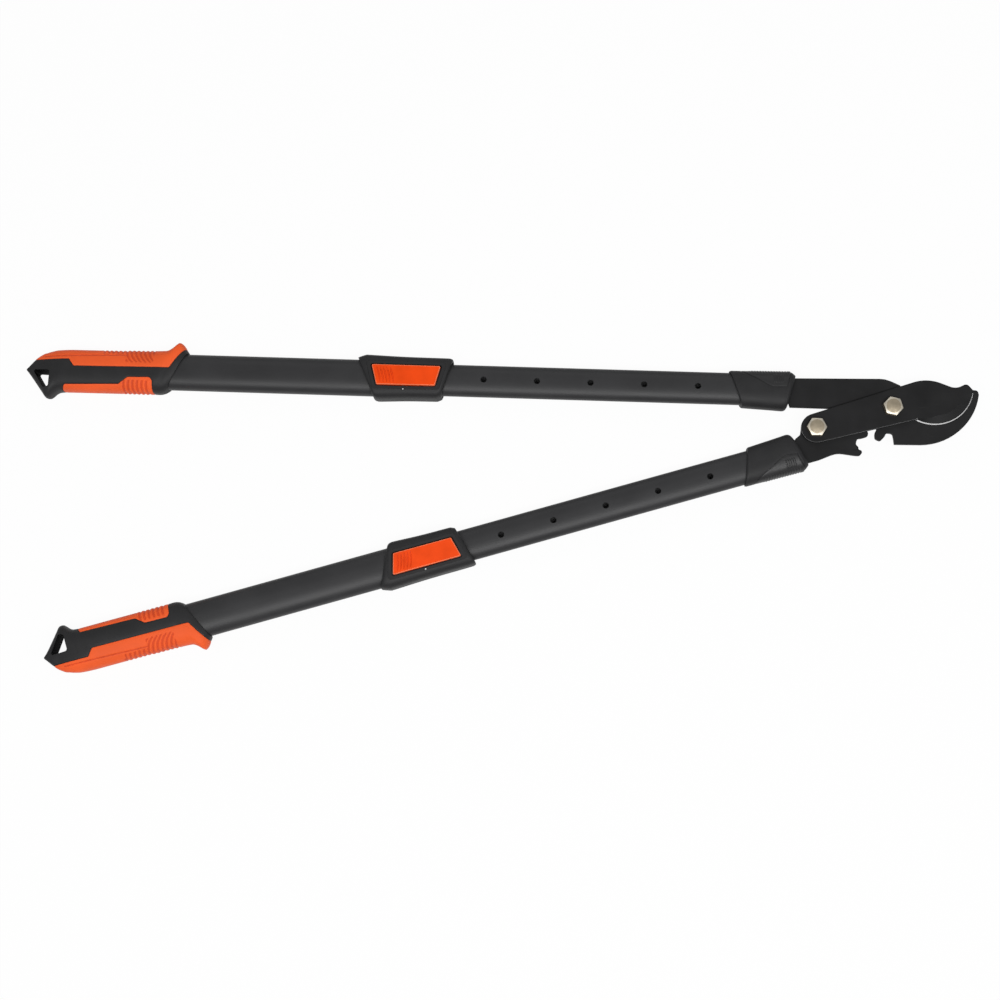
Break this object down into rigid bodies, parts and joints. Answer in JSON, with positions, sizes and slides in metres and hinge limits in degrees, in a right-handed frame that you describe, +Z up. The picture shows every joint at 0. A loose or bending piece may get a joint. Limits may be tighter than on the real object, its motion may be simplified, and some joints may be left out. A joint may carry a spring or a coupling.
{
  "type": "telescopic lopper",
  "caption": "Long-handled bypass lopper with a curved blade and hook, a geared compound head, telescopic flat-oval handles with lever locks, and soft-padded grips.",
  "frame": {"origin": "on the main pivot's axis, in the plane that the tool lies on, at the end face of the pivot bolt", "axes": "+X along the upper arm towards the jaws, +Y to the outer side of the upper arm, +Z up towards the blade's side"},
  "size_m": [1.008, 0.3552, 0.033],
  "materials": {
    "coated_plate": "satin non-stick coat on carbon steel",
    "coated_tube": "satin powder coat",
    "black_plastic": "satin moulded, glass-filled nylon",
    "nylon": "plain moulded nylon",
    "orange_rubber": "matt soft overmoulding",
    "orange_plastic": "satin moulded",
    "plated_steel": "bright zinc plate",
    "bare_steel": "bright drawn wire and bar"
  },
  "bodies": {
    "blade": {"blade_plate": "coated_plate", "pivot_bolt": "plated_steel", "pivot_washer": "plated_steel", "pivot_nut": "plated_steel", "link_bolt": "plated_steel", "link_washer": "plated_steel", "link_nut": "plated_steel"},
    "upper_arm": {"hook_plate": "coated_plate", "upper_inner_tube": "coated_tube", "upper_rear_guide": "nylon", "upper_tang_insert": "nylon", "upper_tang_rivet_rear": "bare_steel", "upper_tang_rivet_front": "bare_steel", "upper_ferrule": "black_plastic"},
    "lower_arm": {"lower_tang": "coated_plate", "lower_inner_tube": "coated_tube", "lower_rear_guide": "nylon", "lower_tang_insert": "nylon", "lower_tang_rivet_rear": "bare_steel", "lower_tang_rivet_front": "bare_steel", "lower_ferrule": "black_plastic"},
    "upper_handle": {"upper_outer_tube": "coated_tube", "upper_front_bush": "nylon", "upper_lock_housing": "black_plastic", "upper_lever_pin": "bare_steel", "upper_lever_spring": "bare_steel", "upper_grip_core": "black_plastic", "upper_grip_outer_pad": "orange_rubber", "upper_grip_inner_pad": "orange_rubber"},
    "upper_lever": {"upper_lock_lever": "orange_plastic", "upper_lock_pin": "bare_steel"},
    "lower_handle": {"lower_outer_tube": "coated_tube", "lower_front_bush": "nylon", "lower_lock_housing": "black_plastic", "lower_lever_pin": "bare_steel", "lower_lever_spring": "bare_steel", "lower_grip_core": "black_plastic", "lower_grip_outer_pad": "orange_rubber", "lower_grip_inner_pad": "orange_rubber"},
    "lower_lever": {"lower_lock_lever": "orange_plastic", "lower_lock_pin": "bare_steel"}
  },
  "joints": [
    {"name": "jaw_pivot", "type": "hinge", "parent": "blade", "child": "upper_arm", "pos_m": [0, 0, 0.016], "axis": [0, 0, -1], "range_deg": [0, 45]},
    {"name": "link_pivot", "type": "hinge", "parent": "blade", "child": "lower_arm", "pos_m": [-0.07886, -0.02456, 0.016], "axis": [0, 0, 1], "range_deg": [0, 30]},
    {"name": "upper_handle_slide", "type": "slide", "parent": "upper_arm", "child": "upper_handle", "axis": [1, 0, 0], "range_m": [0, 0.282]},
    {"name": "upper_lever_hinge", "type": "hinge", "parent": "upper_handle", "child": "upper_lever", "pos_m": [-0.5125, 0.0161, 0.0299], "axis": [0, -1, 0], "range_deg": [-4, 3], "stiffness_Nm_per_rad": 0.2, "springref_deg": -51.57, "deforming": ["upper_lever_spring"]},
    {"name": "lower_handle_slide", "type": "slide", "parent": "lower_arm", "child": "lower_handle", "axis": [0.9527, 0.304, 0], "range_m": [0, 0.282]},
    {"name": "lower_lever_hinge", "type": "hinge", "parent": "lower_handle", "child": "lower_lever", "pos_m": [-0.48357, -0.1744, 0.0299], "axis": [0.304, -0.9527, 0], "range_deg": [-4, 3], "stiffness_Nm_per_rad": 0.2, "springref_deg": -51.57, "deforming": ["lower_lever_spring"]}
  ],
  "couplings": [
    {"joint": "link_pivot", "follows": "jaw_pivot", "ratio": 0.66667}
  ]
}
